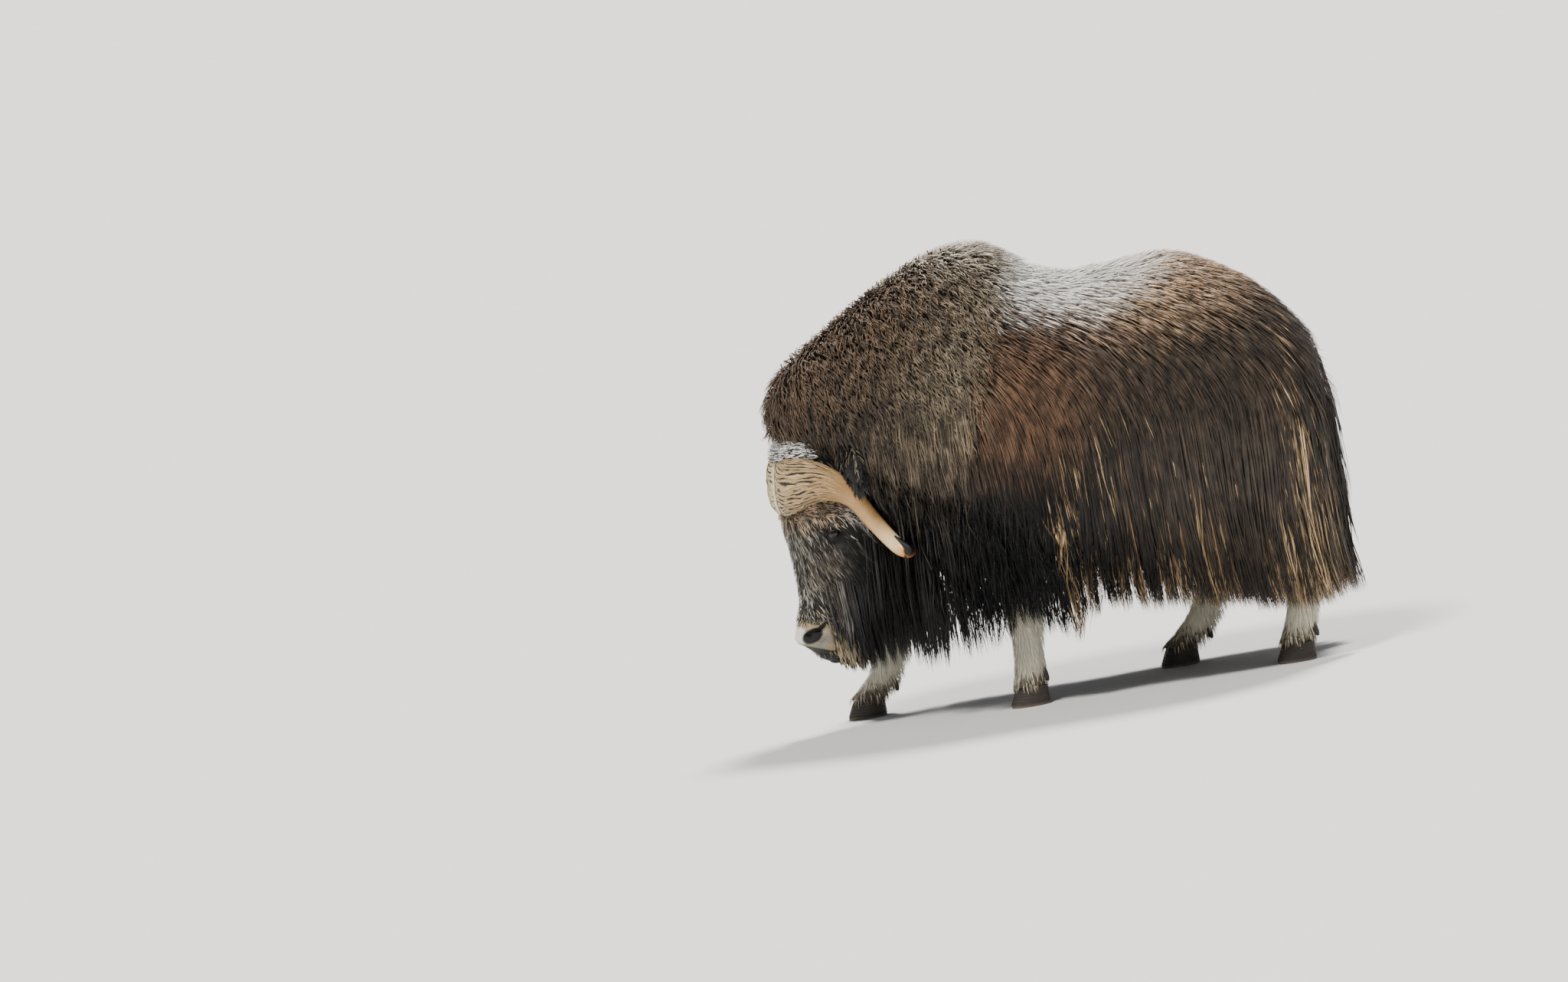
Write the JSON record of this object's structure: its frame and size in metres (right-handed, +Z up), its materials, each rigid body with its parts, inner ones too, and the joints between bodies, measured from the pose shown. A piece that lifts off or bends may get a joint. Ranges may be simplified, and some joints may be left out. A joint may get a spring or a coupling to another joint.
{
  "type": "muskox",
  "caption": "Life-size standing bull muskox with its head lowered, long hanging coat, woolly mane, and horns that curve down beside the face.",
  "frame": {"origin": "under the middle of the animal, on the floor that the hooves stand on", "axes": "+Z up; the body lies along X with the head towards -X; the animal's left side is towards -Y"},
  "size_m": [1.743, 0.7862, 1.3852],
  "materials": {
    "face_hair": "short, glossy dark hair, greyer on the nose and brow",
    "mane_hair": "fine woolly brown hair with grey-tan tips",
    "long_coat": "long, straight dark brown guard hair with golden strands, cream on the saddle",
    "leg_hair": "short, dense cream hair",
    "horn": "fibrous and dull on the boss, polished on the shaft, dark at the tip",
    "hoof": "dark, slightly worn horn",
    "eye": "wet and dark"
  },
  "bodies": {
    "root": {"head": "face_hair", "neck": "mane_hair", "torso_barrel": "long_coat", "torso_rump": "long_coat", "tail": "long_coat", "horn_left": "horn", "ear_left": "face_hair", "eye_left": "eye", "horn_right": "horn", "ear_right": "face_hair", "eye_right": "eye", "leg_fore_left": "leg_hair", "hoof_fore_left_outer": "hoof", "dewclaw_fore_left_outer": "hoof", "hoof_fore_left_inner": "hoof", "dewclaw_fore_left_inner": "hoof", "leg_fore_right": "leg_hair", "hoof_fore_right_outer": "hoof", "dewclaw_fore_right_outer": "hoof", "hoof_fore_right_inner": "hoof", "dewclaw_fore_right_inner": "hoof", "leg_hind_left": "leg_hair", "hoof_hind_left_outer": "hoof", "dewclaw_hind_left_outer": "hoof", "hoof_hind_left_inner": "hoof", "dewclaw_hind_left_inner": "hoof", "leg_hind_right": "leg_hair", "hoof_hind_right_outer": "hoof", "dewclaw_hind_right_outer": "hoof", "hoof_hind_right_inner": "hoof", "dewclaw_hind_right_inner": "hoof"}
  },
  "joints": []
}
